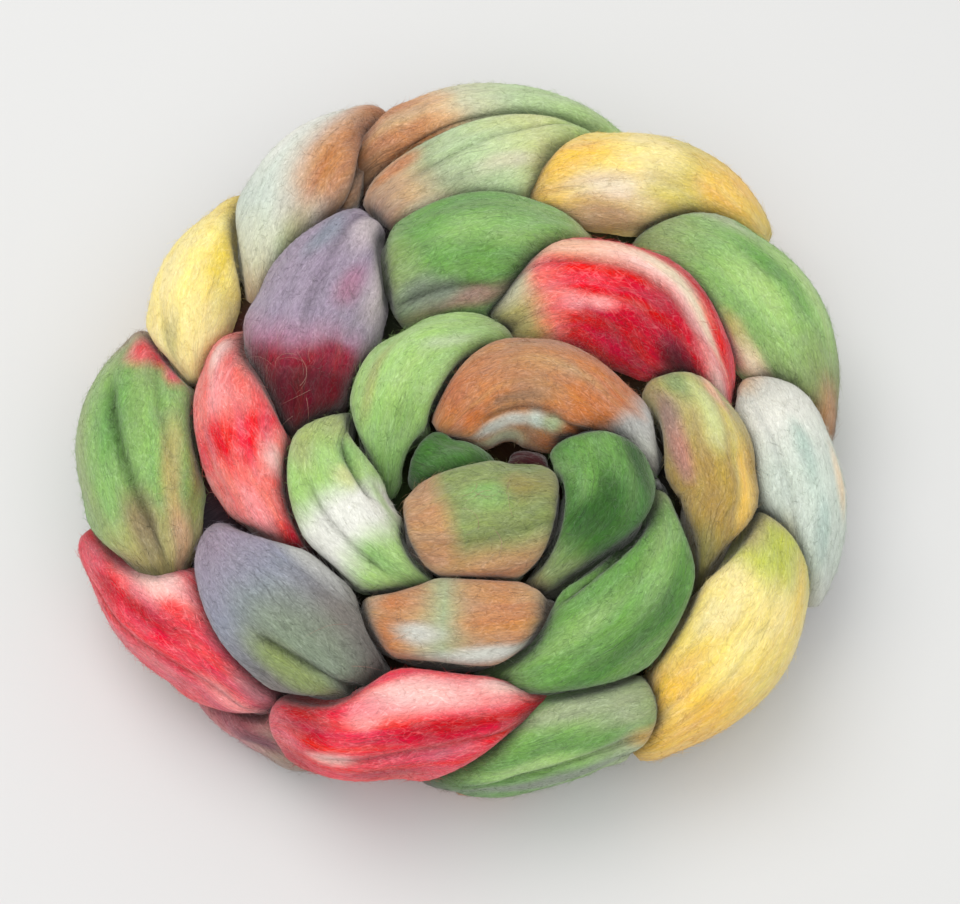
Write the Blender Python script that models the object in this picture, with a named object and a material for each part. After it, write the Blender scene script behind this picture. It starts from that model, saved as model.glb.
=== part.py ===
"""A length of hand-dyed wool roving, chained by hand and wound into a flat coil of two turns.

The rows of FOLDS are the loops of the chain that show, each a soft fold of fibre that swells in its
middle and narrows where it passes under a neighbour. Lengths in the tables are millimetres.
"""

import math

import bpy
import numpy as np

MM = 0.001

# The coil's outer radius, and the height of the surface that it lies on
COIL_RADIUS = 115.0
BASE_Z = 0.0

# How finely a fold is faceted
FOLD_SIDES = 12
FOLD_RINGS = 9
UNDER_SIDES = 10
UNDER_FOLD_RINGS = 7
FULLNESS = 2.3  # exponent of the section's oval: 2 is an ellipse, more is plumper
ROUND_END = 0.42  # how bluntly a fold closes at its ends

# The packed heart of the coil, which closes the hollows under the folds: radius and height of its profile
HEART_PROFILE = (
    (74.0, 4.0),
    (93.0, 15.0),
    (98.0, 27.0),
    (94.0, 33.0),
    (84.0, 40.0),
    (62.0, 45.0),
    (34.0, 47.0),
)
HEART_SIDES = 28
HEART_CENTRE = (-1.0, -2.0)

# Folds on the upper face. Each row: name, then start, middle and end as (x, y, z) on its centre line,
# its width and thickness in the middle, and the share of that width left at its start and at its end.
FOLDS = (
    # the outer column, clockwise from the front left
    ("red_rim", (-51, -88, 25), (-81, -64, 33), (-109, -33, 23), 33, 32, 0.70, 0.60),
    ("green_left", (-86, -59, 33), (-97, -12, 34), (-92, 30, 24), 37, 36, 0.72, 0.70),
    ("yellow_left", (-81, 7, 43), (-82, 42, 36), (-67, 84, 24), 28, 34, 0.45, 0.50),
    ("mint_back", (-60, 36, 34), (-50, 77, 36), (-25, 110, 26), 36, 36, 0.65, 0.70),
    ("brown_back", (-41, 75, 29), (0, 106, 32), (55, 101, 24), 28, 32, 0.85, 0.50),
    ("mint_inner", (-26, 64, 35), (10, 85, 38), (46, 98, 27), 34, 32, 0.55, 0.55),
    ("gold_back", (18, 76, 38), (57, 78, 38), (95, 67, 24), 36, 36, 0.75, 0.50),
    ("green_right", (54, 60, 34), (88, 37, 36), (105, -6, 22), 39, 38, 0.75, 0.45),
    ("white_right", (86, 10, 34), (98, -22, 34), (99, -56, 22), 30, 34, 0.80, 0.60),
    ("yellow_right", (83, -34, 36), (76, -70, 34), (46, -99, 22), 37, 38, 0.55, 0.50),
    ("green_front", (54, -88, 30), (22, -98, 30), (-14, -104, 20), 30, 32, 0.85, 0.50),
    ("pink_front", (30, -90, 37), (-16, -97, 38), (-50, -94, 28), 31, 32, 0.42, 0.72),
    # the second column
    ("grey_front", (-74, -40, 37), (-50, -69, 45), (-19, -94, 34), 36, 34, 0.45, 0.55),
    ("red_left", (-60, 26, 41), (-65, -10, 45), (-45, -54, 44), 27, 32, 0.55, 0.70),
    ("lavender", (-26, 64, 40), (-44, 30, 47), (-51, -12, 42), 38, 34, 0.60, 0.85),
    ("green_back", (-24, 35, 42), (4, 48, 46), (40, 52, 36), 41, 34, 0.75, 0.55),
    ("red_back", (8, 28, 42), (48, 31, 47), (78, -6, 34), 36, 34, 0.60, 0.42),
    ("olive_right", (58, 8, 42), (70, -22, 45), (66, -62, 40), 27, 32, 0.60, 0.60),
    ("green_big", (52, -28, 40), (44, -66, 45), (2, -88, 36), 34, 34, 0.60, 0.55),
    # the inner turn
    ("brown_front", (28, -68, 44), (0, -74, 46), (-30, -68, 42), 27, 30, 0.70, 0.70),
    ("white_green", (-37, -4, 46), (-36, -37, 50), (-8, -63, 46), 27, 30, 0.60, 0.70),
    ("light_green", (14, 17, 46), (-17, 3, 51), (-22, -34, 46), 26, 30, 0.65, 0.60),
    ("orange_inner", (-7, -13, 49), (20, 0, 52), (52, -5, 46), 31, 30, 0.65, 0.55),
    ("grey_end", (48, -2, 46), (54, -14, 46), (55, -30, 42), 14, 22, 0.80, 0.60),
    ("dark_green", (32, -13, 46), (42, -39, 50), (18, -63, 45), 28, 30, 0.90, 0.70),
    ("green_peep", (-9, -19, 45), (-4, -26, 48), (2, -33, 46), 17, 24, 0.90, 0.80),
    ("maroon_peep", (15, -17, 46), (21, -22, 46), (27, -30, 44), 9, 20, 0.80, 0.80),
    ("centre", (27, -40, 50), (6, -42, 52), (-16, -45, 50), 36, 30, 0.90, 0.72),
)

# Folds of the underside, where the same length of roving passes beneath. Each ring is spaced evenly round the
# coil. Columns: name, number of folds, angle of the first, then radius and height of the fold's middle, its
# length, width and thickness, and its slant, the angle that it makes with the ring.
UNDER_RINGS = (
    ("under_rim", 12, 10.0, 86.0, 15.0, 60.0, 36.0, 36.0, 32.0),
    ("under_inner", 6, 40.0, 42.0, 13.0, 58.0, 40.0, 32.0, 28.0),
)
UNDER_SHARE = 0.62
UNDER_END_DROP = 2.0
UNDER_MIDDLE = ("under_middle", (-24, 6, 12), (0, 0, 13), (24, -6, 12), 38, 30, 0.80, 0.80)
# The tucked tail of the roving, which comes out under the front left of the coil
TAIL = ("tail", (-30, -92, 17), (-54, -88, 17), (-78, -70, 18), 24, 30, 0.70, 0.60)

# What is cut off below the coil so that it lies flat, deeper than the lowest fold
CUT_DEPTH = 40.0


def through(start, middle, end, t):
    """The parabola that passes start, middle and end at t of 0, 1/2 and 1."""
    t = np.asarray(t)[:, None]
    start, middle, end = (np.array(point, float) for point in (start, middle, end))
    return 2 * (t - 0.5) * (t - 1) * start - 4 * t * (t - 1) * middle + 2 * t * (t - 0.5) * end


def swell(start_share, end_share, t):
    """The share of its full width that a fold has at t: it swells to its middle and narrows to its end."""
    share = np.where(t < 0.5, start_share, end_share)
    return 1 - (1 - share) * np.abs(2 * t - 1) ** 2


def fold_points(row, rings, sides):
    """The first point, the rings of points and the last point of a fold, in millimetres."""
    _, start, middle, end, width, thickness, start_share, end_share = row
    # the rings crowd towards the ends, which are round
    angle = np.linspace(0, math.pi, rings + 2)
    t = (1 - np.cos(angle)) / 2
    line = through(start, middle, end, t)
    ahead = np.gradient(line, t, axis=0)
    ahead /= np.linalg.norm(ahead, axis=1)[:, None]
    aside = np.cross(ahead, (0, 0, 1))
    aside /= np.linalg.norm(aside, axis=1)[:, None]
    upward = np.cross(aside, ahead)
    size = (swell(start_share, end_share, t) * np.sin(angle) ** ROUND_END)[1:-1, None, None]
    turn = np.linspace(0, 2 * math.pi, sides, endpoint=False)
    across = np.sign(np.cos(turn)) * np.abs(np.cos(turn)) ** (2 / FULLNESS) * width / 2
    above = np.sign(np.sin(turn)) * np.abs(np.sin(turn)) ** (2 / FULLNESS) * thickness / 2
    body = line[1:-1, None] + size * (
        across[None, :, None] * aside[1:-1, None] + above[None, :, None] * upward[1:-1, None]
    )
    return line[0], body, line[-1]


def under_rows():
    """The rows of the underside's folds, worked out from its rings."""
    rows = []
    for name, number, first, radius, height, length, width, thickness, slant in UNDER_RINGS:
        for place in range(number):
            angle = math.radians(first + 360 * place / number)
            middle = np.array((radius * math.cos(angle), radius * math.sin(angle), height))
            way = angle - math.pi / 2 + math.radians(slant)
            half = length / 2 * np.array((math.cos(way), math.sin(way), 0))
            drop = np.array((0, 0, UNDER_END_DROP))
            start = middle - half - drop
            end = middle + half - drop
            rows.append((f"{name}_{place + 1}", start, middle, end, width, thickness, UNDER_SHARE, UNDER_SHARE))
    return rows + [UNDER_MIDDLE, TAIL]


def mesh_object(name, points, faces):
    mesh = bpy.data.meshes.new(name)
    mesh.from_pydata([tuple(MM * float(value) for value in point) for point in points], [], faces)
    made = bpy.data.objects.new(name, mesh)
    bpy.context.scene.collection.objects.link(made)
    return made


def skin_rings(first, body, last):
    """Points and outward faces of a closed skin over rings of points, with a fan at each end."""
    rings, sides, _ = body.shape
    points = [first, *body.reshape(-1, 3), last]
    faces = []
    for side in range(sides):
        beside = (side + 1) % sides
        faces.append((0, 1 + beside, 1 + side))
        for ring in range(rings - 1):
            near = 1 + ring * sides
            far = near + sides
            faces.append((near + side, near + beside, far + beside, far + side))
        tip = 1 + (rings - 1) * sides
        faces.append((tip + side, tip + beside, len(points) - 1))
    return points, faces


def make_fold(row, rings, sides):
    return mesh_object(row[0], *skin_rings(*fold_points(row, rings, sides)))


def make_heart():
    """The packed middle of the coil, turned from its profile."""
    turn = np.linspace(0, 2 * math.pi, HEART_SIDES, endpoint=False)
    x, y = HEART_CENTRE
    rings = [
        np.stack((x + r * np.cos(turn), y + r * np.sin(turn), np.full_like(turn, z)), 1)
        for r, z in HEART_PROFILE
    ]
    low = (x, y, HEART_PROFILE[0][1])
    high = (x, y, HEART_PROFILE[-1][1])
    return mesh_object("heart", *skin_rings(low, np.array(rings), high))


def make_cutter():
    """Everything below the surface that the coil lies on."""
    across = 2 * COIL_RADIUS
    corners = [
        (x, y, z)
        for z in (BASE_Z - CUT_DEPTH, BASE_Z)
        for x, y in ((-across, -across), (across, -across), (across, across), (-across, across))
    ]
    faces = [(3, 2, 1, 0), (4, 5, 6, 7), (0, 1, 5, 4), (1, 2, 6, 5), (2, 3, 7, 6), (3, 0, 4, 7)]
    return mesh_object("below_the_coil", corners, faces)


def helper_collection(name):
    """A collection whose objects are operands only."""
    collection = bpy.data.collections.new(name)
    collection.hide_render = True
    bpy.context.scene.collection.children.link(collection)
    return collection


def as_helper(helper, collection):
    """Keeps an object as an operand: it is drawn as a wire, and isn't part of the roving."""
    bpy.context.scene.collection.objects.unlink(helper)
    collection.objects.link(helper)
    helper.hide_render = True
    helper.display_type = "WIRE"


def wool():
    material = bpy.data.materials.new("dyed_wool")
    material.use_nodes = True
    shader = material.node_tree.nodes["Principled BSDF"]
    shader.inputs["Base Color"].default_value = (0.22, 0.40, 0.13, 1)
    shader.inputs["Roughness"].default_value = 0.9
    shader.inputs["Metallic"].default_value = 0.0
    return material


def main():
    for old in list(bpy.data.objects):
        bpy.data.objects.remove(old)

    folds = helper_collection("folds")
    for row in FOLDS:
        as_helper(make_fold(row, FOLD_RINGS, FOLD_SIDES), folds)
    for row in under_rows():
        as_helper(make_fold(row, UNDER_FOLD_RINGS, UNDER_SIDES), folds)
    below = make_cutter()
    as_helper(below, helper_collection("cutters"))

    roving = make_heart()
    roving.name = "wool_roving"
    join = roving.modifiers.new("join_folds", "BOOLEAN")
    join.operation = "UNION"
    join.operand_type = "COLLECTION"
    join.collection = folds
    join.solver = "EXACT"
    flat = roving.modifiers.new("flat_base", "BOOLEAN")
    flat.operation = "DIFFERENCE"
    flat.object = below
    flat.solver = "EXACT"
    roving.data.materials.append(wool())
    roving.data.shade_smooth()


if __name__ == "__main__":
    main()
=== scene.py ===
"""Looks of the wool roving: the folds of its chain as dyed fibre, the fuzz on them, the floor and the light.

Lengths in the tables are millimetres, and meshes are made in metres. A place on a fold is given by how far
along it lies, from 0 at its start to 1 at its end, and by its turn, the angle round the fold in degrees:
0 is its right-hand side looking along it, 90 its crest and 180 its left-hand side.
"""

import itertools
import math

import bpy
import numpy as np
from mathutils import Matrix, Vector

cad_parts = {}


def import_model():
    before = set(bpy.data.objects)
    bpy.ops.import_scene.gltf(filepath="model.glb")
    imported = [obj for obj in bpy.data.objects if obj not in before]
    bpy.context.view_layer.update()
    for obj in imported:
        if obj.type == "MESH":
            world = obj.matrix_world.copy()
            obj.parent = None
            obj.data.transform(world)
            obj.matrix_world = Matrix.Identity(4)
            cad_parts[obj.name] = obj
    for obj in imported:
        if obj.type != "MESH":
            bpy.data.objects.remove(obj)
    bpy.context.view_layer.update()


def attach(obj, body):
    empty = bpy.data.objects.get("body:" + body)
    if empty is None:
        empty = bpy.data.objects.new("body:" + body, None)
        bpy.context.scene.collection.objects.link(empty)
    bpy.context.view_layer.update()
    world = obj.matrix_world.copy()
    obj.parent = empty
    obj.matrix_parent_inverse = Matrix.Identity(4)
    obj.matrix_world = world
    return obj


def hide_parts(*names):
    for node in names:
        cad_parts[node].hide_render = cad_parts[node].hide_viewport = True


MM = 0.001
NODE = "wool_roving"

# ---------------------------------------------------------------- the folds

# These rows are those of the part's source, apart from the last six of the inner folds. The end of the orange
# fold and the grey end lie about 20 mm from where the solids have them, and the other four up to 7 mm.

FULLNESS = 2.3  # exponent of the section's oval: 2 is an ellipse, more is plumper
ROUND_END = 0.42  # how bluntly a fold closes at its ends

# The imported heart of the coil: radius and height of its profile
HEART_PROFILE = ((74, 4), (93, 15), (98, 27), (94, 33), (84, 40), (62, 45), (34, 47))
HEART_CENTRE = (-1.0, -2.0)
HEART_RINGS, HEART_SIDES = 20, 96

# Each row: name, then start, middle and end as (x, y, z) on its centre line, its width and thickness in the
# middle, and the share of that width left at its start and at its end.
OUTER_FOLDS = (
    ("red_rim", (-51, -88, 25), (-81, -64, 33), (-109, -33, 23), 33, 32, 0.70, 0.60),
    ("green_left", (-86, -59, 33), (-97, -12, 34), (-92, 30, 24), 37, 36, 0.72, 0.70),
    ("yellow_left", (-81, 7, 43), (-82, 42, 36), (-67, 84, 24), 28, 34, 0.45, 0.50),
    ("mint_back", (-60, 36, 34), (-50, 77, 36), (-25, 110, 26), 36, 36, 0.65, 0.70),
    ("brown_back", (-41, 75, 29), (0, 106, 32), (55, 101, 24), 28, 32, 0.85, 0.50),
    ("mint_inner", (-26, 64, 35), (10, 85, 38), (46, 98, 27), 34, 32, 0.55, 0.55),
    ("gold_back", (18, 76, 38), (57, 78, 38), (95, 67, 24), 36, 36, 0.75, 0.50),
    ("green_right", (54, 60, 34), (88, 37, 36), (105, -6, 22), 39, 38, 0.75, 0.45),
    ("white_right", (86, 10, 34), (98, -22, 34), (99, -56, 22), 30, 34, 0.80, 0.60),
    ("yellow_right", (83, -34, 36), (76, -70, 34), (46, -99, 22), 37, 38, 0.55, 0.50),
    ("green_front", (54, -88, 30), (22, -98, 30), (-14, -104, 20), 30, 32, 0.85, 0.50),
    ("pink_front", (30, -90, 37), (-16, -97, 38), (-50, -94, 28), 31, 32, 0.42, 0.72),
)
SECOND_FOLDS = (
    ("grey_front", (-74, -40, 37), (-50, -69, 45), (-19, -94, 34), 36, 34, 0.45, 0.55),
    ("red_left", (-60, 26, 41), (-65, -10, 45), (-45, -54, 44), 27, 32, 0.55, 0.70),
    ("lavender", (-26, 64, 40), (-44, 30, 47), (-51, -12, 42), 38, 34, 0.60, 0.85),
    ("green_back", (-24, 35, 42), (4, 48, 46), (40, 52, 36), 41, 34, 0.75, 0.55),
    ("red_back", (8, 28, 42), (48, 31, 47), (78, -6, 34), 36, 34, 0.60, 0.42),
    ("olive_right", (58, 8, 42), (70, -22, 45), (66, -62, 40), 27, 32, 0.60, 0.60),
    ("green_big", (52, -28, 40), (44, -66, 45), (2, -88, 36), 34, 34, 0.60, 0.55),
)
INNER_FOLDS = (
    ("brown_front", (28, -68, 44), (0, -74, 46), (-30, -68, 42), 27, 30, 0.70, 0.70),
    ("white_green", (-37, -4, 46), (-36, -37, 50), (-8, -63, 46), 27, 30, 0.60, 0.70),
    ("light_green", (14, 17, 46), (-17, 3, 51), (-22, -34, 46), 26, 30, 0.65, 0.60),
    ("orange_inner", (-7, -14, 49), (23, -1, 51.5), (56, -25, 44), 31, 30, 0.65, 0.60),
    ("grey_end", (52, -20, 37), (57, -30, 37), (58, -42, 36), 12, 20, 0.80, 0.60),
    ("dark_green", (31, -14, 46), (39.5, -40, 50), (18, -63, 45), 28, 30, 0.90, 0.70),
    ("green_peep", (-14, -19, 43), (-3, -27, 46), (8, -36, 43), 20, 24, 0.90, 0.80),
    ("maroon_peep", (14, -21, 41), (22, -26, 42), (28, -33, 41), 10, 20, 0.80, 0.80),
    ("centre", (27, -42, 50), (6, -44, 52), (-17, -45, 50), 33.5, 30, 0.90, 0.80),
)
# Rings of folds on the underside. Columns: name, number of folds, angle of the first, radius and height of a
# fold's middle, its length, width and thickness, and its slant, the angle that it makes with the ring.
UNDER_RINGS = (
    ("under_rim", 12, 10.0, 86.0, 15.0, 60.0, 36.0, 36.0, 32.0),
    ("under_inner", 6, 40.0, 42.0, 13.0, 58.0, 40.0, 32.0, 28.0),
)
UNDER_SHARE = 0.62
UNDER_END_DROP = 2.0
UNDER_MIDDLE = ("under_middle", (-24, 6, 12), (0, 0, 13), (24, -6, 12), 38, 30, 0.80, 0.80)
TAIL = ("tail", (-30, -92, 17), (-54, -88, 17), (-78, -70, 18), 24, 30, 0.70, 0.60)


# ---------------------------------------------------------------- the set of the wool, beyond the plain rows

# How the centre line of a fold strays from the curve of its row. Columns: fold, place along it, how far it
# moves to its right-hand side and upward, and the half length of the bend as a share of the fold.
BENDS = (
    ("green_left", 0.45, 1.4, 0.0, 0.30),
    ("green_left", 0.05, 1.5, 2.5, 0.16),
    ("red_rim", 0.60, -1.6, -3.0, 0.22),
    ("lavender", 0.08, 2.0, 0.0, 0.14),
    ("lavender", 0.40, -1.5, 0.0, 0.18),
    ("lavender", 0.85, 0.5, 0.0, 0.20),
    ("white_green", 0.0, -3.5, 0.0, 0.16),
    ("grey_front", 0.02, -1.0, 1.0, 0.14),
    ("pink_front", 0.72, -2.4, 0.0, 0.16),
    ("pink_front", 0.95, 1.4, 1.0, 0.12),
    ("gold_back", 0.62, -1.5, 0.0, 0.18),
    ("centre", 0.90, -1.6, 0.0, 0.30),
    ("centre", 0.12, 1.4, 0.8, 0.18),
    ("brown_back", 0.04, -2.0, 3.0, 0.16),
    ("mint_inner", 0.04, -1.5, 2.0, 0.16),
    ("light_green", 0.92, 1.0, 0.0, 0.14),
    ("olive_right", 0.66, -1.8, 0.0, 0.08),
    ("yellow_right", 0.25, -1.2, 0.0, 0.20),
)
# Where a fold is fuller or slimmer. Columns: fold, place along it, the share of its girth there, and the half
# length of that place as a share of the fold.
GIRTHS = (
    ("green_left", 0.45, 1.06, 0.35),
    ("lavender", 0.85, 1.14, 0.22),
    ("mint_inner", 0.06, 1.30, 0.20),
    ("brown_back", 0.06, 1.10, 0.16),
    ("green_back", 0.06, 1.10, 0.16),
    ("red_back", 0.10, 1.12, 0.16),
    ("gold_back", 0.66, 0.93, 0.16),
    ("olive_right", 0.60, 0.93, 0.08),
    ("mint_back", 0.14, 1.08, 0.16),
    ("red_left", 0.40, 1.05, 0.24),
)
# How bluntly a fold closes at its start and at its end, where that isn't as ROUND_END says
TIPS = {
    "green_left": (0.75, 0.42),
    "yellow_left": (0.80, 0.60),
    "lavender": (0.60, 0.20),
    "grey_front": (0.75, 0.50),
    "pink_front": (0.60, 0.30),
    "red_back": (0.20, 0.60),
    "green_back": (0.24, 0.50),
    "mint_inner": (0.16, 0.42),
    "mint_back": (0.30, 0.42),
    "brown_back": (0.30, 0.42),
    "light_green": (0.42, 0.75),
    "white_green": (0.70, 0.50),
    "dark_green": (0.36, 0.60),
    "olive_right": (0.36, 0.70),
    "orange_inner": (0.36, 0.34),
    "red_left": (0.60, 0.42),
}
# Folds that lie against each other are pressed together. A skin bulges by this share of a gap towards its
# neighbour, less and less in gaps from the first to the second width, and sinks by the depth where they meet.
GAP_SHARE = 0.46
GAP_WIDTHS = (3.5, 9.0)
SINK = (2.0, 1.5)  # depth, and the gap over which it fades
PRESS_ENDS = 1.5  # towards its ends a fold moves by this times its share of girth, and at most by the whole
# Painted shade in the crevices: how much the dye is darkened down in a crevice, and the gap over which that
# fades: its edge and its slope
PAINTED_CREVICE_SHADES = ((0.62, 1.5), (0.29, 5.0))
PAINTED_SHADE_SHARES = (0.72, 0.92, 1.0, 0.92)  # the share of that painted shade that the outer, second and inner folds and the tail have
FAR = 99.0  # a gap that counts as none
PAST_END = 3  # a point that lies this far ahead of the nearest point of a centre line is past the fold's end
AT_ONCE = 4000  # points measured at once, to save memory
LEAST_SIZE, LEAST_LEVEL = 1e-3, 0.05  # guards against a division by 0
FOLD_REACH, HAIR_REACH = 32, 25  # how far from a fold's ends its neighbours and their hairs are looked for

# Rings and sides of the folds that show from above, and of those beneath
FINE = (40, 92)
UNDER_FINE = (24, 48)

# ---------------------------------------------------------------- the dyes

# Colours of the dyed fibre, red, green and blue of 255
DYES = {
    "forest": (54, 92, 42), "deep_green": (80, 124, 62), "moss": (78, 88, 54), "green": (112, 156, 84),
    "leaf": (140, 178, 106), "light_green": (166, 200, 124), "khaki_green": (170, 184, 116),
    "olive_green": (146, 164, 108), "dull_green": (138, 152, 96), "pale_green": (186, 206, 160),
    "lime": (192, 198, 96), "pale_lime": (206, 212, 148), "sage": (166, 178, 140),
    "grey_green": (130, 142, 122), "mint": (204, 214, 202), "deep_mint": (180, 197, 186),
    "white": (230, 230, 220), "grey_white": (206, 206, 196), "cream": (238, 220, 190),
    "pale_khaki": (206, 204, 172), "khaki": (186, 176, 116), "khaki_yellow": (216, 200, 116),
    "pale_yellow": (244, 226, 158), "light_yellow": (250, 230, 146), "yellow": (240, 214, 118),
    "bright_yellow": (238, 212, 88), "gold": (242, 198, 104), "ochre": (206, 172, 96),
    "dull_ochre": (175, 147, 83), "olive": (146, 138, 84), "grey_olive": (152, 138, 102),
    "tan": (202, 168, 130), "peach_tan": (222, 182, 140), "tan_brown": (190, 146, 108),
    "orange_brown": (195, 135, 93), "rust": (196, 122, 78), "soft_brown": (178, 132, 96),
    "brown": (150, 114, 86), "dark_brown": (82, 62, 50), "mauve_brown": (158, 130, 116),
    "peach": (240, 188, 156), "salmon": (240, 124, 118), "red": (222, 44, 56), "crimson": (190, 40, 54),
    "deep_red": (156, 28, 40), "coral_red": (234, 66, 78), "rose": (224, 100, 112), "pink": (246, 152, 152),
    "pale_pink": (248, 198, 190), "wine": (142, 44, 58), "maroon": (96, 26, 36),
    "dark_maroon": (64, 24, 30), "plum": (122, 70, 82), "mauve": (192, 118, 124),
    "dusty_rose": (188, 138, 122), "mauve_lavender": (166, 124, 144), "lavender": (156, 142, 160),
    "pale_lavender": (202, 188, 192), "blue_grey": (140, 144, 158), "pale_grey": (186, 186, 182),
    "slate": (124, 119, 113), "dark_slate": (104, 102, 97), "dark_grey": (86, 88, 82),
}

# How each fold is dyed along its length, as (place, dye)
BANDS = {
    # red_rim's plum start, beside grey_front, is painted shade
    "red_rim": ((0, "plum"), (0.12, "rose"), (0.35, "coral_red"), (0.85, "coral_red"), (1, "red")),
    "green_left": (
        (0, "olive"), (0.1, "khaki"), (0.22, "leaf"), (0.6, "leaf"), (0.78, "olive_green"),
        (0.92, "mauve_brown"), (1, "mauve_brown"),
    ),
    "yellow_left": (
        (0, "pale_yellow"), (0.12, "pale_yellow"), (0.35, "light_yellow"), (0.7, "light_yellow"),
        (0.88, "yellow"), (1, "yellow"),
    ),
    "mint_back": ((0, "tan"), (0.12, "pale_khaki"), (0.34, "mint"), (0.85, "white"), (1, "peach")),
    "brown_back": (
        (0, "brown"), (0.08, "orange_brown"), (0.33, "orange_brown"), (0.43, "peach_tan"),
        (0.51, "pale_khaki"), (0.64, "pale_green"), (1, "light_green"),
    ),
    "mint_inner": (
        (0, "mauve_brown"), (0.12, "tan"), (0.26, "sage"), (0.42, "pale_green"), (0.65, "pale_lime"),
        (0.85, "light_green"), (1, "light_green"),
    ),
    "gold_back": (
        (0, "ochre"), (0.1, "gold"), (0.3, "yellow"), (0.45, "pale_yellow"), (0.6, "khaki_yellow"),
        (0.8, "gold"), (1, "khaki_yellow"),
    ),
    "green_right": (
        (0, "moss"), (0.12, "olive_green"), (0.3, "leaf"), (0.62, "leaf"), (0.8, "olive_green"),
        (0.92, "brown"), (1, "brown"),
    ),
    "white_right": (
        (0, "tan"), (0.1, "grey_white"), (0.25, "white"), (0.5, "mint"), (0.85, "mint"), (1, "grey_white"),
    ),
    "yellow_right": (
        (0, "moss"), (0.08, "khaki"), (0.2, "lime"), (0.34, "pale_yellow"), (0.6, "yellow"), (0.78, "gold"),
        (1, "gold"),
    ),
    "green_front": (
        (0, "moss"), (0.08, "olive_green"), (0.2, "sage"), (0.4, "leaf"), (0.7, "green"), (1, "dark_grey"),
    ),
    "pink_front": (
        (0, "plum"), (0.1, "red"), (0.25, "coral_red"), (0.7, "coral_red"), (0.88, "crimson"), (1, "rose"),
    ),
    "grey_front": (
        (0, "lavender"), (0.16, "lavender"), (0.4, "blue_grey"), (0.62, "slate"), (0.84, "dark_slate"),
        (1, "dark_grey"),
    ),
    "red_left": (
        (0, "salmon"), (0.2, "salmon"), (0.34, "salmon"), (0.5, "salmon"), (0.6, "coral_red"),
        (0.68, "salmon"), (0.84, "salmon"), (0.95, "coral_red"), (1, "deep_red"),
    ),
    "lavender": (
        (0, "lavender"), (0.6, "lavender"), (0.69, "mauve_lavender"), (0.76, "wine"), (0.84, "maroon"),
        (1, "maroon"),
    ),
    "green_back": (
        (0, "dark_grey"), (0.1, "olive_green"), (0.24, "green"), (0.6, "green"), (0.85, "leaf"),
        (1, "khaki"),
    ),
    "red_back": (
        (0, "moss"), (0.1, "khaki"), (0.19, "salmon"), (0.28, "red"), (0.66, "crimson"),
        (0.86, "coral_red"), (1, "rose"),
    ),
    "olive_right": (
        (0, "brown"), (0.1, "khaki"), (0.3, "khaki"), (0.52, "dull_ochre"), (0.75, "dull_ochre"),
        (1, "olive"),
    ),
    "green_big": (
        (0, "moss"), (0.1, "olive_green"), (0.2, "green"), (0.5, "green"), (0.75, "green"), (1, "leaf"),
    ),
    "brown_front": (
        (0, "olive"), (0.1, "tan"), (0.3, "orange_brown"), (0.44, "tan_brown"), (0.56, "sage"),
        (0.7, "tan_brown"), (0.82, "orange_brown"), (0.95, "tan"), (1, "dark_brown"),
    ),
    "white_green": (
        (0, "olive_green"), (0.18, "khaki_green"), (0.34, "light_green"), (0.5, "light_green"),
        (0.6, "white"), (0.7, "white"), (0.82, "light_green"), (0.94, "light_green"), (1, "leaf"),
    ),
    "light_green": (
        (0, "olive_green"), (0.12, "light_green"), (0.6, "light_green"), (0.85, "leaf"), (1, "green"),
    ),
    "orange_inner": (
        (0, "orange_brown"), (0.12, "rust"), (0.22, "orange_brown"), (0.46, "soft_brown"), (0.68, "rust"),
        (0.77, "rust"), (0.84, "pale_grey"), (0.93, "grey_white"), (1, "slate"),
    ),
    "grey_end": (
        (0, "orange_brown"), (0.14, "orange_brown"), (0.34, "pale_grey"), (0.52, "pale_grey"),
        (0.68, "slate"), (1, "dark_brown"),
    ),
    "dark_green": (
        (0, "deep_green"), (0.22, "green"), (0.5, "deep_green"), (0.68, "deep_green"),
        (0.88, "olive_green"), (1, "brown"),
    ),
    # green_peep lies in a hollow: its dark greens are partly its dye and partly painted shade
    "green_peep": ((0, "forest"), (0.5, "deep_green"), (1, "forest")),
    # maroon_peep peeps from a gap: its near-black maroon is partly its dye and partly painted shade
    "maroon_peep": ((0, "dark_maroon"), (0.6, "dark_maroon"), (0.8, "maroon"), (1, "crimson")),
    "centre": (
        (0, "olive"), (0.15, "dull_green"), (0.66, "dull_green"), (0.78, "tan_brown"), (1, "tan_brown"),
    ),
    "tail": (
        (0, "dark_brown"), (0.2, "mauve_brown"), (0.42, "mauve_brown"), (0.6, "mauve"), (0.8, "mauve"),
        (1, "rose"),
    ),
}
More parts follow.
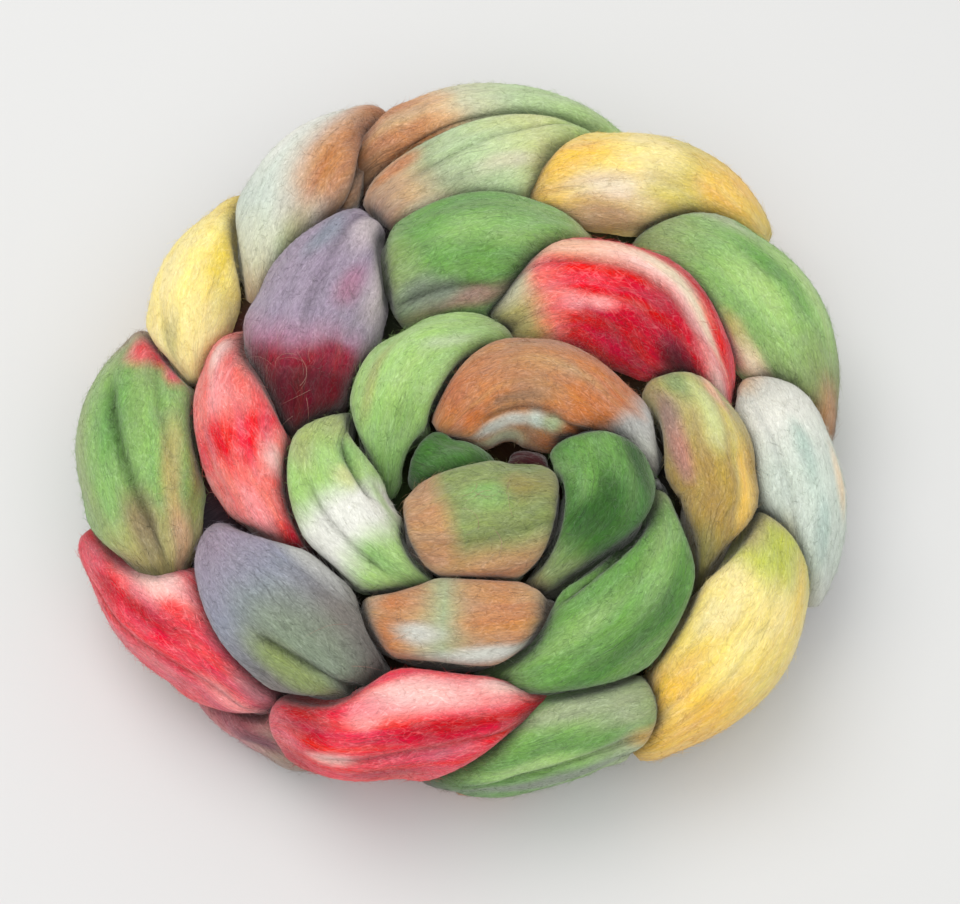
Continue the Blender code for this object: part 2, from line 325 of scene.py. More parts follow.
# Patches over that. Columns: dye, place along the fold, turn, half length as a share of the fold, and half
# height in degrees.
PATCHES = {
    "red_rim": (
        # on red_rim the pink, pale pink and rose near the crest, 0.25 to 0.65 along, are partly dye and partly
        # painted highlight, and the rose along its outer edge is partly painted sheen
        ("rose", 0.40, 170, 0.50, 18), ("pink", 0.14, 152, 0.16, 16), ("mauve", 0.10, 112, 0.12, 16),
        ("crimson", 0.52, 112, 0.17, 16), ("crimson", 0.74, 127, 0.12, 13), ("pink", 0.62, 84, 0.24, 24),
        ("pale_pink", 0.60, 78, 0.18, 18), ("coral_red", 0.44, 94, 0.08, 10), ("rose", 0.30, 80, 0.10, 16),
        ("rose", 0.86, 118, 0.10, 22),
    ),
    "green_left": (
        ("olive_green", 0.45, 150, 0.35, 18), ("green", 0.52, 108, 0.20, 18),
        ("grey_olive", 0.17, 100, 0.10, 24), ("khaki", 0.30, 64, 0.22, 12), ("olive", 0.45, 34, 0.32, 16),
        ("tan", 0.12, 56, 0.10, 20), ("rose", 0.80, 92, 0.10, 18), ("red", 0.83, 84, 0.08, 14),
        ("red", 0.77, 76, 0.07, 11), ("rose", 0.69, 64, 0.06, 10),
    ),
    "yellow_left": (
        ("khaki", 0.20, 122, 0.14, 18), ("pale_yellow", 0.46, 118, 0.26, 18),
        ("bright_yellow", 0.56, 66, 0.26, 18), ("yellow", 0.82, 62, 0.12, 16),
    ),
    "mint_back": (
        ("sage", 0.20, 72, 0.16, 16), ("white", 0.72, 134, 0.24, 18), ("orange_brown", 0.74, 66, 0.46, 44),
        ("orange_brown", 0.55, 74, 0.18, 22), ("orange_brown", 0.92, 98, 0.12, 26),
        ("brown", 0.44, 34, 0.28, 22),
    ),
    "brown_back": (("tan", 0.30, 102, 0.14, 14), ("brown", 0.10, 60, 0.10, 26)),
    "mint_inner": (
        ("orange_brown", 0.15, 128, 0.11, 14), ("cream", 0.16, 62, 0.10, 16),
        ("pale_green", 0.40, 106, 0.15, 13), ("pale_khaki", 0.50, 72, 0.14, 12),
        ("leaf", 0.74, 46, 0.14, 14),
    ),
    "gold_back": (
        ("gold", 0.20, 106, 0.16, 22), ("cream", 0.34, 62, 0.22, 20), ("tan", 0.28, 28, 0.26, 24),
        ("khaki_yellow", 0.56, 60, 0.14, 16), ("pale_yellow", 0.52, 104, 0.10, 16),
        ("gold", 0.74, 92, 0.09, 18),
    ),
    "green_right": (
        ("light_green", 0.52, 84, 0.22, 16), ("khaki", 0.60, 46, 0.16, 10), ("cream", 0.72, 42, 0.10, 14),
        ("pale_khaki", 0.84, 62, 0.08, 15), ("mauve", 0.58, 30, 0.14, 12), ("sage", 0.22, 130, 0.14, 14),
        ("light_green", 0.56, 138, 0.22, 16), ("green", 0.46, 112, 0.16, 12),
        ("tan_brown", 0.90, 118, 0.09, 26),
    ),
    "white_right": (
        ("deep_mint", 0.44, 92, 0.16, 12), ("deep_mint", 0.72, 104, 0.14, 12),
        ("pale_khaki", 0.78, 66, 0.14, 12), ("cream", 0.55, 146, 0.14, 14),
    ),
    "yellow_right": (
        ("lime", 0.24, 108, 0.14, 36), ("khaki", 0.15, 82, 0.10, 16), ("pale_yellow", 0.46, 78, 0.16, 18),
        ("yellow", 0.36, 150, 0.16, 16), ("light_yellow", 0.56, 110, 0.20, 16),
        ("ochre", 0.92, 96, 0.08, 16),
    ),
    "green_front": (
        ("green", 0.38, 132, 0.26, 16), ("sage", 0.38, 96, 0.20, 14), ("light_green", 0.56, 150, 0.22, 12),
        # the grey green along its lower side, at 180 degrees, is painted shade
        ("grey_green", 0.50, 180, 0.40, 12), ("ochre", 0.12, 150, 0.10, 16),
    ),
    "pink_front": (
        ("pink", 0.34, 90, 0.26, 22), ("pale_pink", 0.46, 86, 0.16, 17), ("pale_pink", 0.20, 78, 0.10, 12),
        ("pink", 0.60, 98, 0.07, 14), ("crimson", 0.38, 124, 0.24, 14), ("crimson", 0.80, 108, 0.10, 18),
        ("rose", 0.46, 150, 0.20, 10), ("pale_pink", 0.72, 146, 0.09, 12), ("crimson", 0.56, 172, 0.12, 14),
        ("rose", 0.90, 142, 0.08, 24),
    ),
    "grey_front": (
        ("pale_grey", 0.42, 142, 0.20, 20), ("grey_green", 0.64, 64, 0.28, 40),
        ("dull_green", 0.66, 38, 0.20, 22),
    ),
    "red_left": (
        # on red_left the pale pink and pink of the upper middle, 0.26 to 0.44 along, are partly dye and partly
        # painted highlight
        ("pale_pink", 0.26, 62, 0.12, 16), ("pink", 0.44, 70, 0.09, 18), ("red", 0.60, 56, 0.09, 18),
        ("coral_red", 0.66, 84, 0.06, 14), ("pale_pink", 0.73, 112, 0.07, 16), ("pink", 0.82, 58, 0.10, 22),
        ("deep_red", 0.88, 112, 0.09, 22),
    ),
    "lavender": (
        ("pale_lavender", 0.18, 104, 0.15, 20), ("pale_lavender", 0.34, 150, 0.24, 24),
        ("mauve_lavender", 0.46, 118, 0.10, 14), ("blue_grey", 0.26, 66, 0.14, 14),
        ("wine", 0.74, 132, 0.06, 24), ("maroon", 0.80, 60, 0.08, 20),
    ),
    "green_back": (
        ("grey_green", 0.14, 58, 0.12, 20), ("mauve_brown", 0.36, 36, 0.30, 13),
        ("grey_green", 0.24, 48, 0.12, 14), ("leaf", 0.48, 100, 0.20, 16), ("leaf", 0.66, 84, 0.16, 16),
    ),
    "red_back": (
        # on red_back the pink and coral from 0.27 to 0.40 along are partly dye and partly painted highlight,
        # and the wine and maroon near 0.77 beside a crevice partly dye and partly painted shade
        ("pale_khaki", 0.10, 96, 0.08, 26), ("pink", 0.27, 58, 0.07, 14), ("coral_red", 0.34, 84, 0.12, 10),
        ("pink", 0.40, 62, 0.10, 10), ("peach", 0.34, 118, 0.24, 18), ("pale_pink", 0.58, 116, 0.26, 16),
        ("cream", 0.64, 124, 0.22, 12), ("crimson", 0.52, 40, 0.18, 18), ("wine", 0.76, 74, 0.10, 20),
        ("maroon", 0.77, 66, 0.08, 18), ("pale_pink", 0.90, 104, 0.12, 14), ("red", 0.80, 132, 0.16, 8),
    ),
    "olive_right": (
        ("olive_green", 0.18, 88, 0.12, 22), ("mauve_brown", 0.36, 52, 0.22, 18),
        ("dusty_rose", 0.48, 58, 0.14, 18), ("pale_lime", 0.34, 104, 0.18, 14),
        ("khaki_yellow", 0.48, 130, 0.22, 14), ("gold", 0.62, 140, 0.18, 16),
        ("peach", 0.26, 136, 0.10, 16), ("olive", 0.90, 84, 0.12, 30),
    ),
    "green_big": (
        ("leaf", 0.36, 108, 0.18, 18), ("deep_green", 0.55, 142, 0.25, 16), ("leaf", 0.66, 96, 0.14, 14),
        ("leaf", 0.92, 92, 0.10, 30), ("deep_green", 0.35, 62, 0.14, 12),
    ),
    "brown_front": (
        ("grey_white", 0.40, 146, 0.26, 13), ("grey_white", 0.66, 118, 0.12, 16),
        ("orange_brown", 0.36, 104, 0.14, 20),
    ),
    "white_green": (
        ("khaki_green", 0.30, 62, 0.14, 16), ("leaf", 0.34, 118, 0.16, 16),
        ("pale_lime", 0.50, 102, 0.08, 16), ("pale_green", 0.64, 140, 0.16, 12),
        ("leaf", 0.82, 74, 0.08, 16),
    ),
    "light_green": (
        ("khaki_green", 0.60, 62, 0.14, 14), ("pale_green", 0.30, 96, 0.12, 12),
        ("light_green", 0.56, 84, 0.14, 14),
    ),
    "orange_inner": (
        ("orange_brown", 0.19, 78, 0.10, 20), ("rust", 0.12, 54, 0.09, 16),
        ("grey_white", 0.17, 26, 0.13, 14), ("grey_white", 0.31, 31, 0.12, 10),
        ("mint", 0.47, 33, 0.10, 12), ("sage", 0.58, 34, 0.08, 12), ("pale_khaki", 0.22, 2, 0.19, 14),
        ("tan_brown", 0.54, 98, 0.18, 12), ("brown", 0.34, 62, 0.17, 7),
    ),
    "dark_green": (
        ("forest", 0.56, 88, 0.20, 26), ("forest", 0.30, 132, 0.20, 18), ("green", 0.40, 70, 0.18, 18),
        ("olive_green", 0.84, 120, 0.10, 20),
    ),
    # green_peep's forest green is partly its dye and partly painted shade of its hollow
    "green_peep": (("forest", 0.40, 30, 0.30, 30),),
    "centre": (
        ("leaf", 0.46, 80, 0.16, 14), ("tan_brown", 0.48, 152, 0.50, 30),
        ("orange_brown", 0.56, 162, 0.26, 16), ("olive", 0.22, 70, 0.16, 20),
        ("tan_brown", 0.90, 96, 0.10, 40),
    ),
    "tail": (("moss", 0.30, 130, 0.12, 20), ("plum", 0.50, 160, 0.14, 16)),
}
# The folds beneath are dyed in these pairs by turns, the first dye at the start and the second at the end
UNDER_DYES = (
    ("leaf", "pale_green"), ("red", "pink"), ("mint", "orange_brown"), ("green", "olive"),
    ("lavender", "maroon"), ("pale_yellow", "gold"), ("blue_grey", "grey_green"),
)
UNDER_CHANGE = (0.4, 0.75)  # where along the fold the first dye starts to give way, and where it has
HEART_PAINTED_SHADE = 0.05  # painted shade: the heart, which shows only deep between the folds, is painted this share of the dyes around it
HEART_BLEND = 3.0  # the distance over which one fold's dye gives way to the next
CREST = 0.25  # the share of a turn at which a fold's crest lies, where the heart takes its dye

# ---------------------------------------------------------------- relief and fuzz

# Long creases between locks of fibre. Columns: fold, where it starts (along, turn), where it ends
# (along, turn), its depth, and its half width in degrees.
CREASES = (
    ("green_left", (0.03, 82), (0.70, 116), 2.6, 5.0),
    ("green_left", (0.30, 60), (0.80, 84), 1.0, 4.0),
    ("mint_back", (0.38, 28), (0.92, 68), 2.0, 5.0),
    ("brown_back", (0.15, 62), (0.90, 84), 1.4, 4.0),
    ("mint_inner", (0.10, 98), (0.85, 112), 1.2, 4.0),
    ("gold_back", (0.08, 60), (0.60, 76), 0.4, 5.0),
    ("white_right", (0.15, 62), (0.80, 76), 0.6, 4.0),
    ("yellow_right", (0.12, 112), (0.92, 122), 0.6, 4.0),
    ("yellow_right", (0.30, 92), (0.90, 98), 0.4, 3.0),
    ("yellow_right", (0.50, 74), (0.95, 80), 0.5, 3.0),
    ("green_front", (0.10, 148), (0.85, 162), 1.4, 5.0),
    ("pink_front", (0.15, 140), (0.80, 150), 1.4, 5.0),
    ("red_rim", (0.05, 142), (0.90, 160), 1.2, 5.0),
    ("grey_front", (0.50, 46), (0.93, 74), 2.8, 5.0),
    ("lavender", (0.05, 82), (0.70, 92), 1.0, 4.0),
    ("green_back", (0.02, 62), (0.50, 42), 1.8, 5.0),
    ("red_back", (0.10, 104), (0.80, 100), 1.0, 4.0),
    ("green_big", (0.14, 80), (0.72, 60), 2.0, 5.0),
    ("white_green", (0.05, 108), (0.66, 124), 2.2, 6.0),
    ("white_green", (0.40, 64), (0.88, 58), 1.6, 4.0),
    ("centre", (0.08, 116), (0.92, 126), 0.8, 5.0),
    ("orange_inner", (0.10, 46), (0.85, 44), 1.4, 5.0),
)
PAINTED_CREASE_SHADE = 0.55  # painted shade: how much the dye is darkened in a crease of the next depth or deeper
DEEP_CREASE = 2.2
CREASE_FADE = 0.15  # the share of its length over which a crease starts and ends

# Locks of fibre: how many there are round a fold, how long they are, and how far they stand out
LOCKS = ((7, 46.0, 0.7), (17, 26.0, 0.30), (41, 12.0, 0.14))
SWELLS = (3, 30.0, 1.1)  # slow lumps of the whole fold, as the locks

# How the dye wanders, as the locks: along the fold as a share of its length, and round it in degrees
CREEP = ((6, 18.0, 0.035), (16, 8.0, 0.014), (60, 5.0, 0.006))
CREEP_TURN = ((5, 18.0, 6.0), (13, 7.0, 2.0))
PATCH_CORE, PATCH_EDGE = 0.25, 1.1  # where a patch of dye starts to fade and over what, in its half lengths
# Each fold draws this many noises, of which these are the first for each use
NOISES, SWELL_NOISE, CREEP_NOISE, TURN_NOISE = 20, 9, 10, 15

# Fuzz. Hairs that lie along a fold, and shorter ones that stand off it: hairs for each square centimetre,
# shortest and longest, how far they veer from the fibres in degrees, and how high their tips stand.
LYING = (22.0, 2.5, 7.0, 36.0, 0.60)
STANDING = (20.0, 2.0, 6.0, 60.0, 2.8)
HAIR_BEND = 0.4
HAIR_RISE = (1.3, 2.2)  # shape of the spread of the heights of the tips, most of them low
HAIR_ROOT, HAIR_CURL = 0.12, 1.2  # how deep a hair is rooted, and the exponent of its rise
HAIR_SUNK = 0.2  # what a tip rises beyond its height, for its sunken root
HAIR_SIZE = 0.3  # the least girth that a hair winds round, as a share of the fold's
HAIR_TURNS = 3  # a hair's heading turns by its bend this many times
HAIRY = (0.02, 0.98)  # where along a fold the roots are
SKIN_ENDS = (0.001, 0.999)  # where along a fold a hair may come
FUZZ_SEEDS, STRAY_SEED = 100, 7  # what keeps the random draws of one piece apart from those of the rest
FLOOR_GAP = 0.3  # no hair comes nearer to the floor
ASKEW, TINY = (0.31, 0.17, 0.93), 1e-9  # a direction that no hair takes, to turn its sections by
HAIR_WIDTH = (0.08, 0.14)
HAIR_TIP = 0.45  # the share of its width left near its tip
HAIR_SIDES = 3
HAIR_STATIONS = 3
HAIR_PALE = (0.02, 0.20)  # the least and the further share of white in a hair's dye
HAIR_TONE = (0.85, 1.15)
UNDER_HAIRS = 0.35  # the share of the hairs that the folds beneath have
# Long stray hairs: fold, number, and the middle of where they lie (along, turn)
STRAYS = (("lavender", 14, (0.84, 100)), ("centre", 8, (0.5, 90)), ("grey_front", 8, (0.8, 100)))
STRAY_SPREAD = (0.08, 16)
STRAY_ENDS = (0.03, 0.97)
STRAY_LENGTH = (5.0, 14.0)
STRAY_BEND = 0.6
STRAY_RISE = (0.6, 2.2)
STRAY_STATIONS = 7
STRAY_DYE = "dusty_rose"

EXPORT_MAP = "OFBake"  # the name of the UV map laid over each piece
MAP_MARGIN, HAIR_MARGIN = 0.01, 0.15
# In the coordinates that the noise reads: the step from one fold to the next, the height of the heart, and
# the steps along a hair and from one hair to the next
FOLD_STEP = 17.0
HEART_HEIGHT = 90
HAIR_STEPS = (4.0, 3.0)

# ---------------------------------------------------------------- the fibre

# How the fibres wander and crimp: millimetres across and along, and how far they sway
WAVES = ((8.0, 11.0, 2.6), (2.2, 3.6, 0.5))
# The grain of the wool. Columns: millimetres across and along the fibres, detail and distortion of its noise,
# the light that the fibre keeps at either end of it, and its part of the bump.
GRAINS = {
    "fine": (0.40, 1.9, 4.0, 1.0, 0.81, 1.19, 0.7),
    "strands": (0.8, 8.0, 3.0, 0.5, 0.92, 1.08, 0.4),
    "locks": (4.0, 30.0, 1.0, 0.4, 0.95, 1.05, 0.0),
    "mottle": (5.0, 9.0, 3.0, 0.6, 1.04, 0.96, 0.0),
    "fleck": (0.40, 1.0, 2.0, 0.8, 0.88, 1.12, 0.3),
}
# Single fibres that stray from the rest, and the thin partings between the locks. Columns: millimetres across
# and along, width, and slant in degrees.
# the pale fibres are partly paler fibre and partly painted highlight
PALE_FIBRES = ((1.3, 7.0, 0.024, 19.0), (1.5, 6.0, 0.022, -26.0))
DARK_FIBRES = (1.4, 7.0, 0.024, -8.0)
PARTINGS = (3.4, 44.0, 0.024, 0.0)
LINE_NOISE = (1.0, 0.4)  # detail and distortion of the noise that draws all of these
# Where the partings come: millimetres across and along, and the noise from which they start and at which they
# are whole
PARTED = (8.0, 22.0, 0.52, 0.66)
# How much each of these adds to the light and to the bump; what the partings take off the light is painted
# shade
PALE_FIBRE_AND_HIGHLIGHT, DARK_LIGHT, PARTING_PAINTED_SHADE = 0.20, -0.19, -0.32
PALE_BUMP, PARTED_BUMP = 0.25, -0.5
NOISE_RANGE = (0.3, 0.7)  # the values between which nearly all of a noise lies
PALE_DYES = (0.25, 0.75, 0.0, 0.5)  # a dye's lightness, and how much less of all this a pale dye shows
STRENGTH_OF_DYE = (0.35, 0.65, 1.09, 0.97)  # saturation over the mottle
PALE_STRENGTH = 0.90  # and the share of it that a pale fibre keeps
HUES = (0.494, 0.506)  # over the locks
ROUGHNESS = (0.88, 1.0)  # over the fleck
BUMP_STRENGTH, BUMP_HEIGHT = 0.6, 0.5
WOOL_GLOSS = 0.05
WOOL_SHEEN = 0.35
SHEEN_ROUGHNESS = 0.5
SHEEN_TINT = (0.95, 0.95, 0.92, 1)
# The scales of a hair: steps across and along it, and then the light that it keeps and its roughness at
# either end of their noise
SCALES = (2.0, 1.5)
SCALE_LIGHT = (0.92, 1.10)
HAIR_ROUGHNESS = (0.75, 0.95)
HAIR_GLOSS = 0.1

# The camera looks down at this elevation from in front, at this distance from its target
CAMERA_ELEVATION = 63.0
CAMERA_DISTANCE = 650.0
CAMERA_TARGET = (4.5, -11.5, 35.0)
FOCAL_LENGTH = 81.66
SENSOR = 36.0
CLIP_START = 0.05

FLOOR_SIDE = 6.0
FLOOR_COLOUR = (0.69, 0.69, 0.685)
FLOOR_MOTTLE = 0.985  # the light that its darker parts keep
FLOOR_SCALE = 3.0
FLOOR_ROUGHNESS, FLOOR_GLOSS = 0.9, 0.1
ROOM_LIGHT = 0.63
# Columns: name, place in metres, width in metres, watts, colour
LAMPS = (
    ("window", (-0.50, 0.5, 1.5), 1.3, 11.0, (1.0, 0.985, 0.96)),
    ("ceiling", (0.05, -0.95, 1.7), 2.6, 18.5, (0.97, 0.985, 1.0)),
)


def linear(colour):
    """A colour of 255 as the light that it stands for, by the curve of sRGB."""
    share = np.asarray(colour, float) / 255
    return np.where(share <= 0.04045, share / 12.92, ((share + 0.055) / 1.055) ** 2.4)


def mixed(first, second, share):
    return first + (second - first) * np.asarray(share)[..., None]


def smooth(x):
    x = np.clip(x, 0, 1)
    return x * x * (3 - 2 * x)


# ---------------------------------------------------------------- folds


def through(start, middle, end, t):
    """The parabola that passes start, middle and end at t of 0, 1/2 and 1."""
    t = np.asarray(t)[:, None]
    start, middle, end = (np.array(point, float) for point in (start, middle, end))
    return 2 * (t - 0.5) * (t - 1) * start - 4 * t * (t - 1) * middle + 2 * t * (t - 0.5) * end


def swell(start_share, end_share, t):
    """The share of its full width that a fold has at t: it swells to its middle and narrows to its end."""
    share = np.where(t < 0.5, start_share, end_share)
    return 1 - (1 - share) * np.abs(2 * t - 1) ** 2


def under_rows():
    """The rows of the underside's folds, worked out from its rings."""
    rows = []
    drop = np.array((0, 0, UNDER_END_DROP))
    for name, number, first, radius, height, length, width, thickness, slant in UNDER_RINGS:
        for place in range(number):
            angle = math.radians(first + 360 * place / number)
            middle = np.array((radius * math.cos(angle), radius * math.sin(angle), height))
            way = angle - math.pi / 2 + math.radians(slant)
            half = length / 2 * np.array((math.cos(way), math.sin(way), 0))
            ends = (middle - half - drop, middle, middle + half - drop)
            rows.append((f"{name}_{place + 1}", *ends, width, thickness, UNDER_SHARE, UNDER_SHARE))
    return rows + [UNDER_MIDDLE]


def lattice(around, along, columns, length, seed):
    """Smooth noise from -1 to 1 over shares of a turn, after which it meets itself, and millimetres along."""
    rows = int(np.max(along) / length) + 3
    values = np.random.default_rng(seed).uniform(-1, 1, (rows, columns))
    x = np.asarray(around) * columns
    y = np.asarray(along) / length
    column = np.floor(x).astype(int)
    row = np.clip(np.floor(y).astype(int), 0, rows - 2)
    u = smooth(x - column)
    v = smooth(y - row)
    left, right = column % columns, (column + 1) % columns
    near = values[row, left] * (1 - u) + values[row, right] * u
    far = values[row + 1, left] * (1 - u) + values[row + 1, right] * u
    return near * (1 - v) + far * v


def bell(t, place, reach):
    """1 at a place along a fold, fading to 0 over its reach to either side."""
    return np.exp(-(((t - place) / reach) ** 2))


def off_turn(turn, centre):
    """How many degrees a turn lies from another, from -180 to 180."""
    return (turn - centre + 180) % 360 - 180


class Fold:
    """One fold: its centre line and sections, its skin with the relief on it, and its dyes."""

    def __init__(self, row, seed, fine, painted_shade_share=1.0):
        self.name, start, middle, end, width, thickness, start_share, end_share = row
        self.seed = seed
        self.half = (width / 2, thickness / 2)
        rings, sides = fine
        # the rings crowd towards the ends, which are round
        even = np.linspace(0, 1, rings + 2)
        self.t = 0.5 * even + 0.25 * (1 - np.cos(math.pi * even))
        self.line = through(start, middle, end, self.t)
        self.face()
        for fold, place, right, up, reach in BENDS:
            if fold == self.name:
                move = right * self.aside + up * self.upward
                self.line = self.line + bell(self.t, place, reach)[:, None] * move
        self.face()
        at_start, at_end = TIPS.get(self.name, (ROUND_END, ROUND_END))
        bluntness = at_start + (at_end - at_start) * smooth(self.t)
        closing = (2 * np.sqrt(np.clip(self.t * (1 - self.t), 0, 1))) ** bluntness
        self.size = swell(start_share, end_share, self.t) * closing
        for fold, place, share, reach in GIRTHS:
            if fold == self.name:
                self.size = self.size * (1 + (share - 1) * bell(self.t, place, reach))
        step = np.linalg.norm(np.diff(self.line, axis=0), axis=1)
        self.along_mm = np.concatenate(([0], np.cumsum(step)))
        self.length = self.along_mm[-1]
        self.girth = math.pi * (width + thickness) / 2
        self.around = np.linspace(0, 1, sides, endpoint=False)
        smooth_skin = self.sections()
        self.skin = smooth_skin + self.normals_of(smooth_skin) * self.relief()[..., None]
        self.rest()
        self.painted_shade_share = painted_shade_share

    def noise(self, number, around, along, columns, length):
        return lattice(around, along, columns, length, self.seed * NOISES + number)

    def face(self):
        """Turns the sections of the fold to its centre line."""
        ahead = np.gradient(self.line, self.t, axis=0)
        ahead /= np.linalg.norm(ahead, axis=1)[:, None]
        aside = np.cross(ahead, (0, 0, 1))
        self.aside = aside / np.linalg.norm(aside, axis=1)[:, None]
        self.upward = np.cross(self.aside, ahead)

    def rest(self):
        """Flattens the skin where it would sink into the floor."""
        self.skin[..., 2] = np.maximum(self.skin[..., 2], 0)
        self.normals = self.normals_of(self.skin)

    def sections(self):
        """The rings of points of the fold without its relief."""
        turn = 2 * math.pi * self.around
        across, above = (
            (np.sign(part) * np.abs(part) ** (2 / FULLNESS) * half)[None, :, None]
            for part, half in zip((np.cos(turn), np.sin(turn)), self.half)
        )
        offset = across * self.aside[1:-1, None] + above * self.upward[1:-1, None]
        return self.line[1:-1, None] + self.size[1:-1, None, None] * offset

    def normals_of(self, skin):
        """Outward directions at the points of the skin."""
        across = np.roll(skin, -1, axis=1) - np.roll(skin, 1, axis=1)
        onward = np.gradient(skin, axis=0)
        normal = np.cross(onward, across)
        return normal / np.linalg.norm(normal, axis=2)[..., None]

    def relief(self):
        """How far each point of the skin stands out: locks of fibre, slow lumps and long creases."""
        around = np.broadcast_to(self.around, (len(self.t) - 2, len(self.around)))
        along = np.broadcast_to(self.along_mm[1:-1, None], around.shape)
        height = np.zeros(around.shape)
        for number, (columns, length, depth) in enumerate(LOCKS):
            height += depth * (np.abs(self.noise(number, around, along, columns, length)) - 0.5)
        height += SWELLS[2] * self.noise(SWELL_NOISE, around, along, *SWELLS[:2])
        self.creased = np.zeros(around.shape)
        for fold, (first, first_turn), (last, last_turn), depth, width in CREASES:
            if fold == self.name:
                share = (self.t[1:-1, None] - first) / (last - first)
                off = off_turn(360 * around, first_turn + (last_turn - first_turn) * share)
                ends = smooth(share / CREASE_FADE) * smooth((1 - share) / CREASE_FADE)
                line = ends * bell(off, 0, width)
                height -= depth * line
                # how deep the crease lies here, for the painted shade in it
                self.creased = np.maximum(self.creased, min(1.0, depth / DEEP_CREASE) * line)
        return height * self.size[1:-1, None]

    def at(self, along, around):
        """The point and the outward direction of the skin at shares of its length and of a turn."""
        rings, sides, _ = self.skin.shape
        x = np.clip(np.interp(along, self.t, np.arange(len(self.t))) - 1, 0, rings - 1.001)
        y = (np.asarray(around) % 1) * sides
        ring, side = x.astype(int), y.astype(int) % sides
        u, v = (x - ring)[:, None], (y - y.astype(int))[:, None]
        beside = (side + 1) % sides
        found = []
        for grid in (self.skin, self.normals):
            near = grid[ring, side] * (1 - v) + grid[ring, beside] * v
            far = grid[ring + 1, side] * (1 - v) + grid[ring + 1, beside] * v
            found.append(near * (1 - u) + far * u)
        point, normal = found
        return point, normal / np.linalg.norm(normal, axis=1)[:, None]

    def apart(self, points):
        """About how far points lie outside the fold, in millimetres, and below 0 for those inside."""
        nearest = np.empty(len(points), int)
        for first in range(0, len(points), AT_ONCE):
            some = slice(first, first + AT_ONCE)
            nearest[some] = np.argmin(((points[some, None] - self.line[None]) ** 2).sum(2), axis=1)
        off = points - self.line[nearest]
        aside, upward = self.aside[nearest], self.upward[nearest]
        reach = np.maximum(self.size[nearest], LEAST_SIZE)
        across = np.abs((off * aside).sum(1)) / (self.half[0] * reach)
        above = np.abs((off * upward).sum(1)) / (self.half[1] * reach)
        ahead = np.abs((off * np.cross(upward, aside)).sum(1))
        level = (across**FULLNESS + above**FULLNESS) ** (1 / FULLNESS)
        sideways = np.linalg.norm(off, axis=1) * (1 - 1 / np.maximum(level, LEAST_LEVEL))
        return np.where(ahead > PAST_END, np.maximum(sideways, ahead), sideways)

    def around_it(self, points, reach):
        """Whether points lie near enough to be measured against the fold."""
        return np.linalg.norm(points - self.line[len(self.line) // 2], axis=1) < self.length / 2 + reach

    def settle(self, folds):
        """Presses the skin against the folds around this one."""
        points = self.skin.reshape(-1, 3)
        gap = np.full(len(points), FAR)
        for other in folds:
            near = other.around_it(points, FOLD_REACH)
            if other is not self and near.any():
                gap[near] = np.minimum(gap[near], other.apart(points[near]))
        self.gap = np.clip(gap.reshape(self.skin.shape[:2]), 0, FAR)
        full, none = GAP_WIDTHS
        bulge = GAP_SHARE * self.gap * smooth((none - self.gap) / (none - full))
        depth, fade = SINK
        move = bulge - depth * np.exp(-self.gap / fade)
        for _ in range(2):
            move = (np.roll(move, 1, 1) + 2 * move + np.roll(move, -1, 1)) / 4
            move[1:-1] = (move[:-2] + 2 * move[1:-1] + move[2:]) / 4
        move = move * np.minimum(1, PRESS_ENDS * self.size[1:-1, None])
        self.pressed = self.skin + self.normals * move[..., None]

    def press(self):
        """Takes the pressed skin, once every fold has been measured against its neighbours."""
        self.skin = self.pressed
        self.rest()

    def dye(self, along, around):
        """The colour of the fibre at shares of the fold's length and of a turn."""
        place = np.array(along, float)
        turn = 360 * (np.asarray(around) % 1)
        at = (around, along * self.length)
        for number, (columns, length, reach) in enumerate(CREEP, CREEP_NOISE):
            place = place + reach * self.noise(number, *at, columns, length)
        for number, (columns, length, reach) in enumerate(CREEP_TURN, TURN_NOISE):
            turn = turn + reach * self.noise(number, *at, columns, length)
        stops = [stop for stop, _ in BANDS[self.name]]
        colours = np.array([linear(DYES[dye]) for _, dye in BANDS[self.name]])
        found = np.stack([np.interp(place, stops, part) for part in colours.T], -1)
        for dye, centre, centre_turn, reach_along, reach_turn in PATCHES.get(self.name, ()):
            apart = np.hypot((place - centre) / reach_along, off_turn(turn, centre_turn) / reach_turn)
            found = mixed(found, linear(DYES[dye]), 1 - smooth((apart - PATCH_CORE) / PATCH_EDGE))
        return found

    def shade(self):
        """The painted shade at the points of the skin: the share of its dye's light kept, less in the crevices
        and the creases.
        """
        crevices = sum(depth * np.exp(-self.gap / fade) for depth, fade in PAINTED_CREVICE_SHADES)
        return (1 - self.painted_shade_share * crevices) * (1 - PAINTED_CREASE_SHADE * self.creased)


# ---------------------------------------------------------------- meshes


def give(holder, name, values, kind=np.float32):
    """Sets one value for each item of a collection of Blender's."""
    holder.foreach_set(name, np.asarray(values).astype(kind).ravel())


def new_piece(name, points, triangles, quads, material):
    """A smooth closed mesh object, its points in millimetres."""
    mesh = bpy.data.meshes.new(name)
    mesh.vertices.add(len(points))
    give(mesh.vertices, "co", MM * points)
    mesh.loops.add(triangles.size + quads.size)
    give(mesh.loops, "vertex_index", np.concatenate((triangles.ravel(), quads.ravel())), np.int32)
    mesh.polygons.add(len(triangles) + len(quads))
    starts = (3 * np.arange(len(triangles)), triangles.size + 4 * np.arange(len(quads)))
    give(mesh.polygons, "loop_start", np.concatenate(starts), np.int32)
    mesh.update(calc_edges=True)
    mesh.shade_smooth()
    mesh.materials.append(material)
    piece = stand(name, mesh)
    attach(piece, "root")
    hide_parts(NODE)
    return piece


def paint(piece, colours, fibre, places):
    """Gives a piece its dye at each point, and its fibre coordinates and place on the map at each corner."""
    mesh = piece.data
    colours = np.concatenate((colours, np.ones((len(colours), 1))), 1)
    give(mesh.color_attributes.new("dye", "FLOAT_COLOR", "POINT").data, "color", colours)
    give(mesh.attributes.new("fibre", "FLOAT_VECTOR", "CORNER").data, "vector", fibre)
    give(mesh.uv_layers.new(name=EXPORT_MAP).uv, "vector", places)


